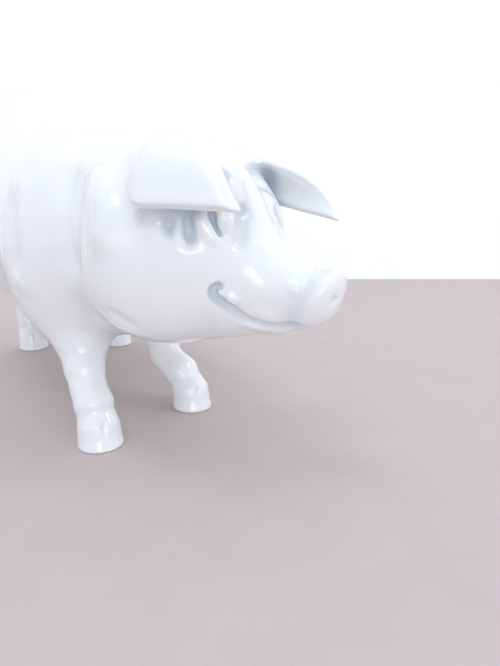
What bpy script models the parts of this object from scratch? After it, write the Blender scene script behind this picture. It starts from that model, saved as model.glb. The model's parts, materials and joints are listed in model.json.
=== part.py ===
"""Porcelain pig coin bank: nine slip castings luted together, and a rubber stopper in the belly.

The pig stands on z = 0 and looks along +X, with its left side at +Y. Its head is turned to its
left. The body is sculpted from overlapping lumps that a voxel remesh joins into one skin, and the
skin is then divided along flat luting planes into the castings that a potter would pour.
"""

import math

import bmesh
import bpy
from mathutils import Matrix, Vector

MM = 0.001

# ---- Driving dimensions, in millimetres and degrees -----------------------------------------

BODY_LENGTH = 152.0        # rump to breast, the long axis of the barrel
BODY_WIDTH = 80.0
BODY_HEIGHT = 67.0
BODY_MIDDLE_X = -8.0
BELLY_Z = 31.0             # clear height under the belly

RUMP_X = BODY_MIDDLE_X - BODY_LENGTH / 2
BREAST_X = BODY_MIDDLE_X + BODY_LENGTH / 2
FLANK_Y = BODY_WIDTH / 2

LOIN_RADII = (42.0, 23.0, 30.5)   # keep the back broad and level over the hind half
HAM_RADII = (31.0, 25.0, 33.0)
LOIN_CENTRE = (RUMP_X + 46.0, FLANK_Y - 24.0, BELLY_Z + 35.0)
HAM_CENTRE = (RUMP_X + 34.0, FLANK_Y - 23.0, BELLY_Z + 29.0)
SHOULDER_RADII = (20.0, 20.0, 32.0)
SHOULDER_CENTRE = (BREAST_X - 27.0, FLANK_Y - 21.0, BELLY_Z + 29.0)
CHEST_RADII = (21.0, 27.0, 26.0)
CHEST_CENTRE = (BREAST_X - 16.0, 0.0, BELLY_Z + 27.0)
NECK_START = (BREAST_X - 26.0, 0.0, BELLY_Z + 35.0)
NECK_RADII = (29.5, 24.0)

HEAD_PIVOT = (BREAST_X + 2.0, 0.0, BELLY_Z)    # the head is drawn from here along +X, then turned
HEAD_TURN = 30.0
NAPE = (8.0, 0.0, 34.0)
SKULL_CENTRE = (14.5, 0.0, 34.0)
SKULL_RADII = (24.0, 22.5, 24.0)
JOWL_CENTRE = (9.0, 9.0, 23.0)
JOWL_RADII = (20.0, 17.0, 16.5)
SNOUT_ENDS = ((31.0, 0.0, 23.0), (50.0, 0.0, 21.0))
SNOUT_RADII = (13.5, 7.4)
JAW_ENDS = ((18.0, 0.0, 19.0), (43.5, 0.0, 15.2))
JAW_RADII = (11.0, 5.6)
NOSE_DISC_CENTRE = (54.0, 0.0, 21.0)
NOSE_DISC_RADII = (3.2, 9.0, 9.4)
NOSE_DISC_TILT = 31.0

EAR_REAR = 14.5            # the ear's rear edge, along the head
EAR_ROOT_FRONT = 24.0      # the front end of the root
EAR_TIP = 43.5             # the tip of the lower edge
EAR_HEM = 43.0             # height of the hanging edge, above the belly
EAR_REACH = 26.0           # how far out of the head's middle the hanging edge is
EAR_ARCH = 17.0            # radius of the ear's arch at its rear edge
EAR_TAPER = 0.22           # how fast the arch tightens towards the tip
EAR_THICKNESS = 3.4
EAR_BUMP_CENTRE = (19.0, 11.0, 52.5)
EAR_BUMP_RADII = (9.0, 7.0, 7.0)

HOOF_RADIUS = 7.5
PASTERN_RADIUS = 5.3
FETLOCK_RADIUS = 6.0
SHANK_RADIUS = 5.5
FORE_LEAN = ((-0.8, -1.0), (-6.6, -5.0))   # how far each knee is off its hoof, right and left
FORE_STANCE = ((BREAST_X - 5.6, 21.0 - FLANK_Y), (BREAST_X - 18.5, FLANK_Y - 21.0))
HIND_STANCE = ((RUMP_X + 20.4, 20.0 - FLANK_Y), (RUMP_X + 35.7, FLANK_Y - 20.0))

TAIL_HEIGHT = 49.0         # height of the tail's root, above the belly
TAIL_RISE = 35.0           # the tail leaves the rump this far above level
TAIL_STEM = 1.5            # the tail is luted on this far behind the barrel
TAIL_ROOT_RADIUS = 4.4      # a low rise on the rump carries the tail
TAIL_RISE_REACH = 3.0       # the rise runs this far to both sides of the luting plane
TAIL_CURL_RADIUS = 5.2
TAIL_RADII = (2.9, 1.5)
TAIL_TURNS = 1.15

WALL = 4.0                 # thickness of the cast porcelain
SLOT_LENGTH = 34.0
SLOT_WIDTH = 5.0
SLOT_X = BODY_MIDDLE_X + 3.0

STOPPER_X = BODY_MIDDLE_X
HOLE_RADIUS = 13.0
SEAT_LEDGE = 4.0           # width of the flat recess round the hole, for the stopper's flange
SEAT_DEPTH = 3.0
BOSS_WALL = 7.0            # thicker porcelain round the hole, inside
BOSS_HEIGHT = 5.0
STOPPER_FIT = 0.3          # clearance round the stopper
FLANGE_THICKNESS = 2.4
FLANGE_REVEAL = 0.9        # gap between the flange and the side of its recess
PLUG_TAPER = 0.8
PLUG_LEAD = 1.5
GRIP_RADIUS = 9.0
GRIP_DEPTH = 5.0
GRIP_BAR = 3.2

LEG_TOP_DROP = 1.0         # the legs are luted on this far below the belly
NECK_PLANE_INSET = 4.0     # from the breast back to the luting plane of the head
NECK_TURN_SHARE = 0.27     # share of the head's turn that the plane takes
NECK_PLANE_TILT = 18.0
EAR_PLANE_POINT = (18.0, 18.4, 48.3)
EAR_PLANE_NORMAL = (0.14, 0.818, 0.559)
EAR_SEAT_SIZE = 22.0       # width of the patch planed flat under an ear
LUTING_GAP = 0.3           # left between two castings where they are luted

TRUNK_VOXEL = 2.4          # sculpting resolution of the trunk, and of the finished skin
SKIN_VOXEL = 2.0
TRUNK_SMOOTHING = 24
SKIN_SMOOTHING = 4
SKIN_SHARE = 0.17          # share of the skin's faces kept
HOLLOW_SHARE = 0.10

SEAT_RADIUS = HOLE_RADIUS + SEAT_LEDGE
SEAT_Z = BELLY_Z + SEAT_DEPTH
BOSS_TOP_Z = SEAT_Z + BOSS_HEIGHT
BODY_CENTRE = (BODY_MIDDLE_X, 0.0, BELLY_Z + BODY_HEIGHT / 2)


# ---- Frames and small helpers ---------------------------------------------------------------

def metres(point):
    """Turn a point in millimetres into a vector in metres."""
    return Vector(point) * MM


def head_frame():
    """Matrix from the head's own frame, in metres, to the pig's."""
    turn = Matrix.Rotation(math.radians(HEAD_TURN), 4, "Z")
    return Matrix.Translation(metres(HEAD_PIVOT)) @ turn


def mirrored(point, side):
    """The same point on the pig's left (side 1) or right (side -1)."""
    return (point[0], side * point[1], point[2])


def cylinder(radius, low, high, x=0.0, sides=40):
    """Closed upright cylinder between two heights, as a bmesh in metres."""
    shape = bmesh.new()
    place = Matrix.Translation(metres((x, 0.0, (low + high) / 2)))
    bmesh.ops.create_cone(shape, cap_ends=True, segments=sides, radius1=radius * MM,
                          radius2=radius * MM, depth=(high - low) * MM, matrix=place)
    return shape


def add_lump(shape, centre, radii, frame=Matrix(), tilt=0.0):
    """Add an ellipsoid, tilted nose down about Y, to the heap of lumps."""
    size = Matrix.Diagonal((*(radius * MM for radius in radii), 1.0))
    turn = Matrix.Rotation(math.radians(tilt), 4, "Y")
    place = frame @ Matrix.Translation(metres(centre)) @ turn @ size
    bmesh.ops.create_icosphere(shape, subdivisions=4, radius=1.0, matrix=place)


def add_limb(shape, start, end, radii, frame=Matrix()):
    """Add a tapered limb with round ends to the heap of lumps."""
    a = metres(start)
    b = metres(end)
    along = b - a
    turn = along.to_track_quat("Z", "Y").to_matrix().to_4x4()
    place = frame @ Matrix.Translation((a + b) / 2) @ turn
    bmesh.ops.create_cone(shape, cap_ends=True, segments=32, radius1=radii[0] * MM,
                          radius2=radii[1] * MM, depth=along.length, matrix=place)
    for point, radius in ((start, radii[0]), (end, radii[1])):
        add_lump(shape, point, (radius,) * 3, frame)


def named_object(name, shape):
    """Turn a bmesh into an object in the scene."""
    mesh = bpy.data.meshes.new(name)
    shape.to_mesh(mesh)
    shape.free()
    thing = bpy.data.objects.new(name, mesh)
    bpy.context.scene.collection.objects.link(thing)
    return thing


def modelled(thing):
    """The object's mesh with its modifiers applied, as a bmesh; the object itself goes."""
    bpy.context.view_layer.update()
    graph = bpy.context.evaluated_depsgraph_get()
    shape = bmesh.new()
    shape.from_mesh(thing.evaluated_get(graph).to_mesh())
    bpy.data.objects.remove(thing)
    return shape


def fuse(name, heap, voxel, smoothing):
    """Join a heap of lumps into one smooth closed skin."""
    thing = named_object(name, heap)
    remesh = thing.modifiers.new("join", "REMESH")
    remesh.mode = "VOXEL"
    remesh.voxel_size = voxel * MM
    smooth = thing.modifiers.new("smooth", "SMOOTH")
    smooth.factor = 0.5
    smooth.iterations = smoothing
    return modelled(thing)


def thinned(shape, share):
    """Keep a share of a skin's triangles, where the surface needs them most."""
    thing = named_object("skin", shape)
    thin = thing.modifiers.new("thin", "DECIMATE")
    thin.ratio = share
    return modelled(thing)


def carve(shape, cutters):
    """Take the closed cutters out of a solid, one after another."""
    thing = named_object("solid", shape)
    tools = []
    for number, cutter in enumerate(cutters):
        tool = named_object(f"cutter_{number}", cutter)
        tool.hide_render = True
        tool.display_type = "WIRE"
        cut = thing.modifiers.new(tool.name, "BOOLEAN")
        cut.operation = "DIFFERENCE"
        cut.solver = "EXACT"
        cut.object = tool
        tools.append(tool)
    result = modelled(thing)
    for tool in tools:
        bpy.data.objects.remove(tool)
    return result


def trim(shape, point, normal):
    """Keep what lies behind a plane, and close the cut with a flat face."""
    everything = shape.verts[:] + shape.edges[:] + shape.faces[:]
    made = bmesh.ops.bisect_plane(shape, geom=everything, plane_co=point, plane_no=normal,
                                  clear_outer=True)
    rim = [item for item in made["geom_cut"] if isinstance(item, bmesh.types.BMEdge)]
    bmesh.ops.holes_fill(shape, edges=rim)


def luting_side(shape, point, normal, beyond):
    """Keep one side of a luting plane, half the luting gap away from it."""
    flip = -1.0 if beyond else 1.0
    facing = Vector(normal).normalized() * flip
    trim(shape, Vector(point) - facing * (LUTING_GAP / 2 * MM), facing)


def glazed(name, colour):
    """Porcelain under a clear glaze."""
    material = bpy.data.materials.new(name)
    material.use_nodes = True
    shader = material.node_tree.nodes["Principled BSDF"]
    shader.inputs["Base Color"].default_value = (*colour, 1.0)
    shader.inputs["Roughness"].default_value = 0.12
    shader.inputs["Metallic"].default_value = 0.0
    return material


def finish(name, shape, material, parent, origin=(0.0, 0.0, 0.0)):
    """Place a finished solid under its parent, with its origin at a point in metres."""
    bmesh.ops.dissolve_degenerate(shape, dist=0.00002, edges=shape.edges[:])
    bmesh.ops.triangulate(shape, faces=shape.faces[:])
    bmesh.ops.recalc_face_normals(shape, faces=shape.faces[:])
    shape.transform(Matrix.Translation(-Vector(origin)))
    thing = named_object(name, shape)
    thing.data.shade_smooth()
    thing.data.set_sharp_from_angle(angle=math.radians(35))
    thing.data.materials.append(material)
    thing.parent = parent
    thing.location = Vector(origin)
    return thing


# ---- Lumps of the pig -----------------------------------------------------------------------

def shrunk(radii, wall):
    """Radii of the same lump, one wall further in."""
    return tuple(radius - wall for radius in radii)


def heap_body(shape, wall=0.0):
    """Barrel, hams, shoulders, chest and neck; a wall makes them the hollow inside."""
    barrel = (BODY_LENGTH / 2, BODY_WIDTH / 2, BODY_HEIGHT / 2)
    add_lump(shape, BODY_CENTRE, shrunk(barrel, wall))
    for side in (-1, 1):
        add_lump(shape, mirrored(LOIN_CENTRE, side), shrunk(LOIN_RADII, wall))
        add_lump(shape, mirrored(HAM_CENTRE, side), shrunk(HAM_RADII, wall))
        add_lump(shape, mirrored(SHOULDER_CENTRE, side), shrunk(SHOULDER_RADII, wall))
    add_lump(shape, CHEST_CENTRE, shrunk(CHEST_RADII, wall))
    nape = head_frame() @ metres(NAPE) / MM
    add_limb(shape, NECK_START, nape, shrunk(NECK_RADII, wall))


def heap_head(shape, wall=0.0):
    """Skull and jowls; a wall makes them the hollow inside."""
    add_lump(shape, SKULL_CENTRE, shrunk(SKULL_RADII, wall), head_frame())
    for side in (-1, 1):
        add_lump(shape, mirrored(JOWL_CENTRE, side), shrunk(JOWL_RADII, wall), head_frame())


def heap_face(shape):
    """Snout, jaw, nose disc and the bumps that carry the ears, all solid."""
    add_limb(shape, *SNOUT_ENDS, SNOUT_RADII, head_frame())
    add_limb(shape, *JAW_ENDS, JAW_RADII, head_frame())
    add_lump(shape, NOSE_DISC_CENTRE, NOSE_DISC_RADII, head_frame(), NOSE_DISC_TILT)
    for side in (-1, 1):
        add_lump(shape, mirrored(EAR_BUMP_CENTRE, side), EAR_BUMP_RADII, head_frame())


def leg_stations(stance, fore):
    """Centre and radius of each station of a leg, from its root down to below the sole."""
    x, y = stance
    side = math.copysign(1.0, y)
    z = BELLY_Z
    if fore:
        lean_x, lean_y = FORE_LEAN[0] if y < 0 else FORE_LEAN[1]
        top = [((x - 21.0, y - 2.5 * side, z + 13.0), 14.0),
               ((x - 13.0 + lean_x, y - side + lean_y, z), 8.4)]
        knee = [((x - 8.0 + lean_x, y + lean_y, z - 8.0), SHANK_RADIUS + 0.7),
                ((x - 5.0 + lean_x, y + lean_y, z - 13.5), SHANK_RADIUS)]
        foot_x, foot_y = lean_x / 3, lean_y / 3
    else:
        foot_x, foot_y = 0.0, 0.0
        top = [((x + 12.0, y - 3.0 * side, z + 17.0), 17.0), ((x - 2.0, y - side, z - 1.0), 8.5)]
        knee = [((x - 4.5, y, z - 9.0), SHANK_RADIUS), ((x - 3.6, y, z - 14.0), SHANK_RADIUS)]
    foot = [((x - 2.6 + foot_x, y + foot_y, 12.4), FETLOCK_RADIUS),
            ((x - 1.8 + foot_x / 2, y + foot_y / 2, 9.6), PASTERN_RADIUS),
            ((x - 0.4, y, 5.8), HOOF_RADIUS - 1.1), ((x + 1.2, y, -3.0), HOOF_RADIUS + 0.4)]
    return top + knee + foot


def heap_legs(shape):
    """All four legs, running a little below the ground so that the soles can be cut flat."""
    for stances, fore in ((FORE_STANCE, True), (HIND_STANCE, False)):
        for stance in stances:
            stations = leg_stations(stance, fore)
            for (a, ra), (b, rb) in zip(stations, stations[1:]):
                add_limb(shape, a, b, (ra, rb))


def heap_tail_root(shape):
    """A low rise on the rump, running a little past the plane where the tail is luted on."""
    point, normal = tail_plane()
    start, end = (point + normal * reach * MM for reach in (-TAIL_RISE_REACH, TAIL_RISE_REACH))
    add_limb(shape, start / MM, end / MM, (TAIL_ROOT_RADIUS + 2.0, TAIL_ROOT_RADIUS))


def skin():
    """The whole outer skin of the pig, legs and face included, standing on flat soles."""
    heap = bmesh.new()
    heap_body(heap)
    heap_head(heap)
    trunk = fuse("trunk", heap, TRUNK_VOXEL, TRUNK_SMOOTHING)
    heap_face(trunk)
    heap_legs(trunk)
    heap_tail_root(trunk)
    whole = thinned(fuse("skin", trunk, SKIN_VOXEL, SKIN_SMOOTHING), SKIN_SHARE)
    trim(whole, Vector((0.0, 0.0, 0.0)), Vector((0.0, 0.0, -1.0)))
    return whole


def hollow():
    """The space left inside when the slip is poured out, with the boss round the hole."""
    heap = bmesh.new()
    heap_body(heap, WALL)
    heap_head(heap, WALL)
    inside = thinned(fuse("hollow", heap, TRUNK_VOXEL, TRUNK_SMOOTHING), HOLLOW_SHARE)
    boss = cylinder(HOLE_RADIUS + BOSS_WALL, 0.0, BOSS_TOP_Z, STOPPER_X)
    return carve(inside, [boss])


# ---- Luting planes --------------------------------------------------------------------------

def neck_plane():
    """Point and normal of the plane between the body and the head."""
    yaw = math.radians(HEAD_TURN * NECK_TURN_SHARE)
    tilt = math.radians(NECK_PLANE_TILT)
    level = math.cos(tilt)
    normal = Vector((level * math.cos(yaw), level * math.sin(yaw), math.sin(tilt)))
    middle = (BREAST_X - NECK_PLANE_INSET, 0.0, BODY_CENTRE[2])
    return metres(middle), normal


def ear_plane(side):
    """Point and outward normal of the plane between the head and one ear."""
    point = head_frame() @ metres(mirrored(EAR_PLANE_POINT, side))
    normal = head_frame().to_3x3() @ Vector(mirrored(EAR_PLANE_NORMAL, side))
    return point, normal


def leg_plane():
    """Point and normal of the level plane between the body and the legs."""
    return metres((0.0, 0.0, BELLY_Z - LEG_TOP_DROP)), Vector((0.0, 0.0, -1.0))


def tail_plane():
    """Point and outward normal of the plane where the tail is luted to the rump."""
    rise = math.radians(TAIL_RISE)
    above = (BELLY_Z + TAIL_HEIGHT - BODY_CENTRE[2]) / (BODY_HEIGHT / 2)
    behind = BODY_MIDDLE_X - BODY_LENGTH / 2 * math.sqrt(1.0 - above ** 2)
    root = metres((behind - TAIL_STEM, 0.0, BELLY_Z + TAIL_HEIGHT))
    return root, Vector((-math.cos(rise), 0.0, math.sin(rise)))


# ---- Castings -------------------------------------------------------------------------------

def slot_cutter():
    """Coin slot with round ends, through the back."""
    half = SLOT_LENGTH / 2 - SLOT_WIDTH / 2
    shape = bmesh.new()
    rim = []
    for end, start in ((half, -90.0), (-half, 90.0)):
        for step in range(9):
            angle = math.radians(start + 180.0 * step / 8)
            x = SLOT_X + end + SLOT_WIDTH / 2 * math.cos(angle)
            y = SLOT_WIDTH / 2 * math.sin(angle)
            rim.append(shape.verts.new(metres((x, y, BODY_CENTRE[2] + BODY_HEIGHT / 4))))
    base = shape.faces.new(rim)
    grown = bmesh.ops.extrude_face_region(shape, geom=[base])
    tops = [item for item in grown["geom"] if isinstance(item, bmesh.types.BMVert)]
    bmesh.ops.translate(shape, verts=tops, vec=metres((0.0, 0.0, BODY_HEIGHT / 2)))
    bmesh.ops.recalc_face_normals(shape, faces=shape.faces[:])
    return shape


def torso(whole, inside):
    """The hollow body casting, with the coin slot, the stopper's hole and its recess."""
    body = whole.copy()
    luting_side(body, *leg_plane(), beyond=False)
    luting_side(body, *neck_plane(), beyond=False)
    luting_side(body, *tail_plane(), beyond=False)
    hole = cylinder(HOLE_RADIUS, 0.0, BODY_CENTRE[2], STOPPER_X)
    seat = cylinder(SEAT_RADIUS, 0.0, SEAT_Z, STOPPER_X)
    return carve(body, [inside.copy(), slot_cutter(), hole, seat])


def ear_seat_cutter(side):
    """Block that planes the top of one ear bump flat, just below its luting plane."""
    point, normal = ear_plane(side)
    bump = head_frame() @ metres(mirrored(EAR_BUMP_CENTRE, side))
    over_bump = bump + normal * (point - bump).dot(normal)
    centre = over_bump + normal * (EAR_SEAT_SIZE - LUTING_GAP) / 2 * MM
    turn = normal.to_track_quat("Z", "Y").to_matrix().to_4x4()
    shape = bmesh.new()
    bmesh.ops.create_cube(shape, size=EAR_SEAT_SIZE * MM, matrix=Matrix.Translation(centre) @ turn)
    return shape


def head(whole, inside):
    """The hollow head casting, open at the neck and flat where the ears are luted on."""
    shape = whole.copy()
    luting_side(shape, *neck_plane(), beyond=True)
    return carve(shape, [inside.copy(), ear_seat_cutter(-1), ear_seat_cutter(1)])


def leg(whole, stance):
    """One solid leg casting, from the luting plane down to its sole."""
    shape = whole.copy()
    luting_side(shape, *leg_plane(), beyond=True)
    across = Vector((0.0, math.copysign(1.0, stance[1]), 0.0))
    along = Vector((math.copysign(1.0, stance[0] - BODY_MIDDLE_X), 0.0, 0.0))
    for normal in (across, along):
        luting_side(shape, metres(BODY_CENTRE), normal, beyond=True)
    return shape


def ear_front(fall):
    """How far forward the ear's front edge is, from its root (0) to its hanging edge (1)."""
    return EAR_ROOT_FRONT + (EAR_TIP - EAR_ROOT_FRONT) * (1.0 - (1.0 - fall) ** 1.6)


def ear(side):
    """An arched flap of clay, thickened from a sheet and cut off flat at its root."""
    columns, rows = 9, 10
    shape = bmesh.new()
    grid = []
    for row in range(rows + 1):
        fall = row / rows
        angle = math.radians(-15.0 + 105.0 * fall)
        line = []
        for column in range(columns + 1):
            along = EAR_REAR + (ear_front(fall) - EAR_REAR) * column / columns
            arch = EAR_ARCH - EAR_TAPER * (along - EAR_REAR)
            out = EAR_REACH - arch + arch * math.sin(angle)
            point = (along, side * out, EAR_HEM + arch * math.cos(angle))
            line.append(shape.verts.new(head_frame() @ metres(point)))
        grid.append(line)
    for upper, lower in zip(grid, grid[1:]):
        for corner in range(columns):
            face = [upper[corner], upper[corner + 1], lower[corner + 1], lower[corner]]
            shape.faces.new(face if side < 0 else face[::-1])
    sheet = named_object("ear_sheet", shape)
    thicken = sheet.modifiers.new("thicken", "SOLIDIFY")
    thicken.thickness = EAR_THICKNESS * MM
    thicken.offset = 0.0
    flap = modelled(sheet)
    luting_side(flap, *ear_plane(side), beyond=True)
    return flap


def tail():
    """A curl of rolled clay, thinning to its tip, cut off flat where it meets the rump."""
    point, normal = tail_plane()
    curl = bpy.data.curves.new("tail_curl", "CURVE")
    curl.dimensions = "3D"
    curl.bevel_depth = MM
    curl.bevel_resolution = 2
    curl.use_fill_caps = True
    line = curl.splines.new("POLY")
    steps = 30
    line.points.add(steps)
    across = Vector((0.0, 1.0, 0.0))
    up = normal.cross(across)
    for step in range(steps + 1):
        share = step / steps
        turn = 2 * math.pi * TAIL_TURNS * max(0.0, share - 0.15) / 0.85
        lead = normal * (-3.0 + 7.5 * min(1.0, share / 0.25) + 3.0 * share) * MM
        ring = (across * math.sin(turn) + up * (math.cos(turn) - 1.0)) * TAIL_CURL_RADIUS * MM
        line.points[step].co = (*(point + lead + ring), 1.0)
        line.points[step].radius = TAIL_RADII[0] + (TAIL_RADII[1] - TAIL_RADII[0]) * share
    thing = bpy.data.objects.new("tail_curl", curl)
    bpy.context.scene.collection.objects.link(thing)
    shape = modelled(thing)
    bmesh.ops.remove_doubles(shape, verts=shape.verts[:], dist=0.00001)
    bmesh.ops.recalc_face_normals(shape, faces=shape.faces[:])
    luting_side(shape, point, normal, beyond=True)
    return shape


def stopper():
    """Soft rubber bung: a flange, a slightly tapered plug and a finger grip in its underside."""
    flange = SEAT_RADIUS - FLANGE_REVEAL
    plug = HOLE_RADIUS - STOPPER_FIT
    top = BOSS_TOP_Z
    base = SEAT_Z - STOPPER_FIT
    low = base - FLANGE_THICKNESS
    profile = [(0.0, low), (flange - 0.8, low), (flange, low + 0.8), (flange, base),
               (plug, base), (plug - PLUG_TAPER, top), (plug - PLUG_TAPER - PLUG_LEAD, top + 1.5),
               (0.0, top + 1.5)]
    shape = bmesh.new()
    verts = [shape.verts.new(metres((radius, 0.0, height))) for radius, height in profile]
    edges = [shape.edges.new(pair) for pair in zip(verts, verts[1:])]
    bmesh.ops.spin(shape, geom=verts + edges, axis=(0.0, 0.0, 1.0), cent=(0.0, 0.0, 0.0),
                   angle=2 * math.pi, steps=36, use_duplicate=False)
    bmesh.ops.remove_doubles(shape, verts=shape.verts[:], dist=0.00001)
    bmesh.ops.recalc_face_normals(shape, faces=shape.faces[:])
    bmesh.ops.translate(shape, verts=shape.verts[:], vec=metres((STOPPER_X, 0.0, 0.0)))
    grips = []
    for side in (-1, 1):
        grip = cylinder(GRIP_RADIUS, low - 5.0, low + GRIP_DEPTH, STOPPER_X)
        middle = metres((0.0, side * GRIP_BAR / 2, 0.0))
        trim(grip, middle, Vector((0.0, -side, 0.0)))
        grips.append(grip)
    return carve(shape, grips)


# ---- Assembly -------------------------------------------------------------------------------

def build():
    """Make the castings and the stopper, each an object of its own under one empty."""
    for thing in list(bpy.data.objects):
        bpy.data.objects.remove(thing)
    stand = bpy.data.objects.new("pig_bank", None)
    bpy.context.scene.collection.objects.link(stand)
    porcelain = glazed("glazed_porcelain", (0.80, 0.83, 0.85))
    rubber = glazed("soft_rubber", (0.62, 0.62, 0.60))
    rubber.node_tree.nodes["Principled BSDF"].inputs["Roughness"].default_value = 0.6

    whole = skin()
    inside = hollow()
    castings = {"torso": torso(whole, inside), "head": head(whole, inside),
                "right_foreleg": leg(whole, FORE_STANCE[0]),
                "left_foreleg": leg(whole, FORE_STANCE[1]),
                "right_hind_leg": leg(whole, HIND_STANCE[0]),
                "left_hind_leg": leg(whole, HIND_STANCE[1]),
                "right_ear": ear(-1), "left_ear": ear(1), "tail": tail()}
    for name, shape in castings.items():
        finish(name, shape, porcelain, stand)
    seat = metres((STOPPER_X, 0.0, SEAT_Z))
    finish("belly_stopper", stopper(), rubber, stand, seat)
    whole.free()
    inside.free()
    centre_on_ground(stand)


def centre_on_ground(stand):
    """Move the stand so that the bank's bounding box is centred over the origin."""
    bpy.context.view_layer.update()
    corners = [thing.matrix_world @ vert.co for thing in stand.children
               for vert in thing.data.vertices]
    for axis in (0, 1):
        values = [corner[axis] for corner in corners]
        stand.location[axis] = -(min(values) + max(values)) / 2
    bpy.context.view_layer.update()


build()
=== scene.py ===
# %% [markdown]
# # A porcelain pig coin bank
# The real bank is slip-cast: liquid clay is poured into plaster moulds, the hollow body, the head, the
# ears, the legs and the tail are cast apart, and then they are luted together with wet slip, smoothed
# over, glazed and fired. This lesson sculpts the same castings in Blender around a imported frame, which
# fixes every size and place. The frame is loaded first.

# %% Load the frame
import json
import math

import bmesh
import bpy
import numpy as np
from mathutils import Matrix, Vector

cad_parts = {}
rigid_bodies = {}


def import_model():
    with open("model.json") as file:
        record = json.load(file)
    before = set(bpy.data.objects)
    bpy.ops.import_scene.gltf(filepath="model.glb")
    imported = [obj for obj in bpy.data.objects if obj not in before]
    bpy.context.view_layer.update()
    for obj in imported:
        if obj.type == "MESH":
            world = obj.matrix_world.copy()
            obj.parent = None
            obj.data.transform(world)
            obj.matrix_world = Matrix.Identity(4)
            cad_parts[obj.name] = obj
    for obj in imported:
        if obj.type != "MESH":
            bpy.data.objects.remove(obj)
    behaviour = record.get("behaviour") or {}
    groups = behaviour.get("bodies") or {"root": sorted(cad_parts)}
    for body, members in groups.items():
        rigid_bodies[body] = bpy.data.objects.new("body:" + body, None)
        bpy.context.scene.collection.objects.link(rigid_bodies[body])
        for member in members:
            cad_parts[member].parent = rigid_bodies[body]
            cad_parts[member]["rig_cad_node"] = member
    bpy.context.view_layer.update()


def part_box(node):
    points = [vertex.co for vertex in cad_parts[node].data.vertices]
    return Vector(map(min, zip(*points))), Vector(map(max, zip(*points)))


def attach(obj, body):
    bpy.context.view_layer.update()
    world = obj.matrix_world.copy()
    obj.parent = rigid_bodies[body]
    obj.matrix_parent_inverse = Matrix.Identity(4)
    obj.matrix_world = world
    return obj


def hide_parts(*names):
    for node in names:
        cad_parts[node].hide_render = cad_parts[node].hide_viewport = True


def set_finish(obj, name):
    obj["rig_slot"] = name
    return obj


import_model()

# %% [markdown]
# ## Where the pig stands
# It is easiest to sculpt in millimetres, in the pig's own frame: +X the way the body faces, +Y its left,
# +Z up, and the barrel's middle 8 mm behind the origin. The stopper sits on the barrel's middle, so its
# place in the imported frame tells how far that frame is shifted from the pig's own.

# %% The pig's own frame
MM = 0.001
STOPPER_X = -8.0
stopper_low, stopper_high = (np.array(corner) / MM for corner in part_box("belly_stopper"))
SHIFT = np.array([(stopper_low[0] + stopper_high[0]) / 2 - STOPPER_X,
                  (stopper_low[1] + stopper_high[1]) / 2, 0.0])
print("shift of the packed frame, mm:", SHIFT.round(2))

# %% [markdown]
# ## Clay that blends
# A pig has no flat panels: its legs flow into its shoulders and its lips into its cheeks. Box modelling
# such a form takes hundreds of hand-placed points. Here the clay is described by a *distance field*
# instead, a function that says for any point how far outside the clay it is, and is negative inside.
# Two lumps are pressed together by taking the smaller distance, and rounding it over where both are
# near. All points are worked out at once, as one numpy array.

# %% Field helpers
def pressed(a, b, radius):
    """Union: the smaller of two distances, rounded over where they differ by less than radius."""
    share = np.clip(0.5 + 0.5 * (b - a) / radius, 0.0, 1.0)
    return b + (a - b) * share - radius * share * (1.0 - share)


def cut_by(a, b, radius):
    """What two fields share: the larger distance, rounded over in the same way."""
    return -pressed(-a, -b, radius)


def yaw(degrees):
    """Rotation matrix that turns +X towards +Y."""
    c, s = math.cos(math.radians(degrees)), math.sin(math.radians(degrees))
    return np.array([[c, -s, 0.0], [s, c, 0.0], [0.0, 0.0, 1.0]])


def nod(degrees):
    """Rotation matrix that tips +X down towards -Z."""
    c, s = math.cos(math.radians(degrees)), math.sin(math.radians(degrees))
    return np.array([[c, 0.0, s], [0.0, 1.0, 0.0], [-s, 0.0, c]])


def lump(points, centre, radii, turn=None):
    """Ellipsoid: scaled length minus one, divided by the scaled gradient's length."""
    local = points - np.array(centre)
    if turn is not None:
        local = local @ turn
    radii = np.array(radii)
    scaled = np.sqrt(((local / radii) ** 2).sum(1))
    steepness = np.sqrt(((local / radii ** 2) ** 2).sum(1))
    return scaled * (scaled - 1.0) / np.maximum(steepness, 1e-9)


def limb(points, start, end, start_radius, end_radius):
    """Tapered limb: distance to the segment, minus the radius at the nearest share of its length."""
    start, end = np.array(start), np.array(end)
    along = end - start
    share = np.clip(((points - start) @ along) / (along @ along), 0.0, 1.0)
    nearest = start + share[:, None] * along
    return np.sqrt(((points - nearest) ** 2).sum(1)) - (start_radius + (end_radius - start_radius) * share)


def along_path(points, path):
    """Distance to a path through a few points, and the share of its length at the nearest place."""
    path = np.array(path, float)
    lengths = np.sqrt((np.diff(path, axis=0) ** 2).sum(1))
    before = np.concatenate([[0.0], np.cumsum(lengths)]) / lengths.sum()
    best = np.full(len(points), 1e9)
    share = np.zeros(len(points))
    for index in range(len(path) - 1):
        step = path[index + 1] - path[index]
        t = np.clip(((points - path[index]) @ step) / (step @ step), 0.0, 1.0)
        gap = np.sqrt(((points - path[index] - t[:, None] * step) ** 2).sum(1))
        closer = gap < best
        best = np.where(closer, gap, best)
        share = np.where(closer, before[index] + (before[index + 1] - before[index]) * t, share)
    return best, share


def smooth_path(path, steps=4):
    """A curve through the given points: Catmull-Rom, each stretch a cubic in its share of the way."""
    path = np.array(path, float)
    full = np.vstack([2 * path[0] - path[1], path, 2 * path[-1] - path[-2]])
    t = np.linspace(0.0, 1.0, steps, endpoint=False)[:, None]
    pieces = [0.5 * (2 * b + (c - a) * t + (2 * a - 5 * b + 4 * c - d) * t ** 2
                     + (3 * b - a - 3 * c + d) * t ** 3)
              for a, b, c, d in zip(full, full[1:], full[2:], full[3:])]
    return np.vstack(pieces + [path[-1:]])


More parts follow.
